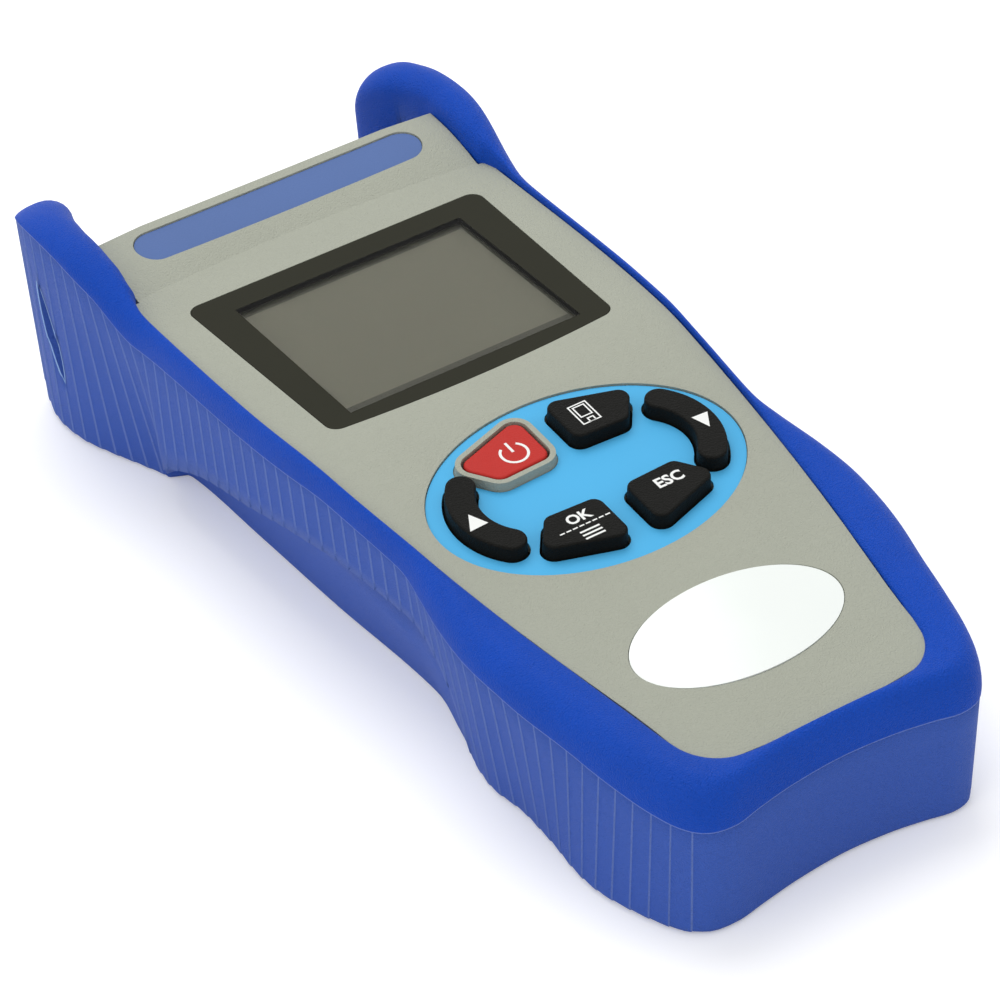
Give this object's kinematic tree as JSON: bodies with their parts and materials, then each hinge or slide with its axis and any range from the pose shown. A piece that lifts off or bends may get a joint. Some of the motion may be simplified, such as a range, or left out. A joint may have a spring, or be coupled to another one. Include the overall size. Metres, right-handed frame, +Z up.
{
  "type": "optical fibre tester",
  "caption": "Handheld optical fibre tester in a ribbed rubber boot with a colour display, a rubber keypad and two fibre ports under caps between its horns.",
  "frame": {"origin": "centre of the footprint, on the surface that the tester's back lies on", "axes": "+X across to the right of the face, +Y along the case towards the connector end, +Z up out of the face"},
  "size_m": [0.0906, 0.208, 0.0477],
  "materials": {
    "boot_rubber": "satin moulded rubber",
    "gray_plastic": "fine matt texture",
    "dark_plastic": "fine matt texture",
    "white_plastic": "smooth",
    "window_glass": "clear acrylic",
    "black_print": "printed",
    "display_panel": "smooth, unlit",
    "blue_print": "printed membrane",
    "label_blue": "printed label",
    "board_green": "solder mask",
    "chip_black": "moulded epoxy",
    "ribbon_amber": "polyimide film",
    "steel": "plated",
    "nickel": "nickel plated",
    "cell_wrap": "shrink sleeve",
    "key_red": "matt silicone rubber",
    "key_black": "matt silicone rubber",
    "cap_black": "matt rubber"
  },
  "bodies": {
    "case": {"rubber_boot": "boot_rubber", "front_shell": "gray_plastic", "rear_shell": "dark_plastic", "end_panel": "dark_plastic", "display_window": "window_glass", "window_mask": "black_print", "lcd_frame": "white_plastic", "lcd_panel": "display_panel", "keypad_overlay": "blue_print", "badge_plate": "white_plastic", "header_label": "label_blue", "keypad_board": "board_green", "key_domes": "steel", "main_board": "board_green", "board_parts": "chip_black", "keypad_ribbon": "ribbon_amber", "board_screws": "steel", "case_screws": "steel", "usb_socket": "steel", "battery_cells": "cell_wrap", "battery_contacts": "steel", "battery_door": "dark_plastic", "door_screw": "steel", "optical_adapter_left": "nickel", "optical_adapter_right": "nickel", "optical_receiver_left": "steel", "optical_receiver_right": "steel"},
    "power_key_body": {"power_key": "key_red"},
    "save_key_body": {"save_key": "key_black"},
    "enter_key_body": {"enter_key": "key_black"},
    "cancel_key_body": {"cancel_key": "key_black"},
    "left_arrow_key_body": {"left_arrow_key": "key_black"},
    "right_arrow_key_body": {"right_arrow_key": "key_black"},
    "dust_cap_left_body": {"dust_cap_left": "cap_black"},
    "dust_cap_right_body": {"dust_cap_right": "cap_black"}
  },
  "joints": [
    {"name": "power_key_press", "type": "slide", "parent": "case", "child": "power_key_body", "axis": [0, 0.1063, -0.9943], "range_m": [0, 0.0007], "stiffness_N_per_m": 1500},
    {"name": "save_key_press", "type": "slide", "parent": "case", "child": "save_key_body", "axis": [0, 0.1063, -0.9943], "range_m": [0, 0.0007], "stiffness_N_per_m": 1500},
    {"name": "enter_key_press", "type": "slide", "parent": "case", "child": "enter_key_body", "axis": [0, 0.1063, -0.9943], "range_m": [0, 0.0007], "stiffness_N_per_m": 1500},
    {"name": "cancel_key_press", "type": "slide", "parent": "case", "child": "cancel_key_body", "axis": [0, 0.1063, -0.9943], "range_m": [0, 0.0007], "stiffness_N_per_m": 1500},
    {"name": "left_arrow_key_press", "type": "slide", "parent": "case", "child": "left_arrow_key_body", "axis": [0, 0.1063, -0.9943], "range_m": [0, 0.0007], "stiffness_N_per_m": 1500},
    {"name": "right_arrow_key_press", "type": "slide", "parent": "case", "child": "right_arrow_key_body", "axis": [0, 0.1063, -0.9943], "range_m": [0, 0.0007], "stiffness_N_per_m": 1500},
    {"name": "dust_cap_left_pull", "type": "slide", "parent": "case", "child": "dust_cap_left_body", "axis": [0, 1, 0], "range_m": [0, 0.03]},
    {"name": "dust_cap_right_pull", "type": "slide", "parent": "case", "child": "dust_cap_right_body", "axis": [0, 1, 0], "range_m": [0, 0.03]}
  ]
}
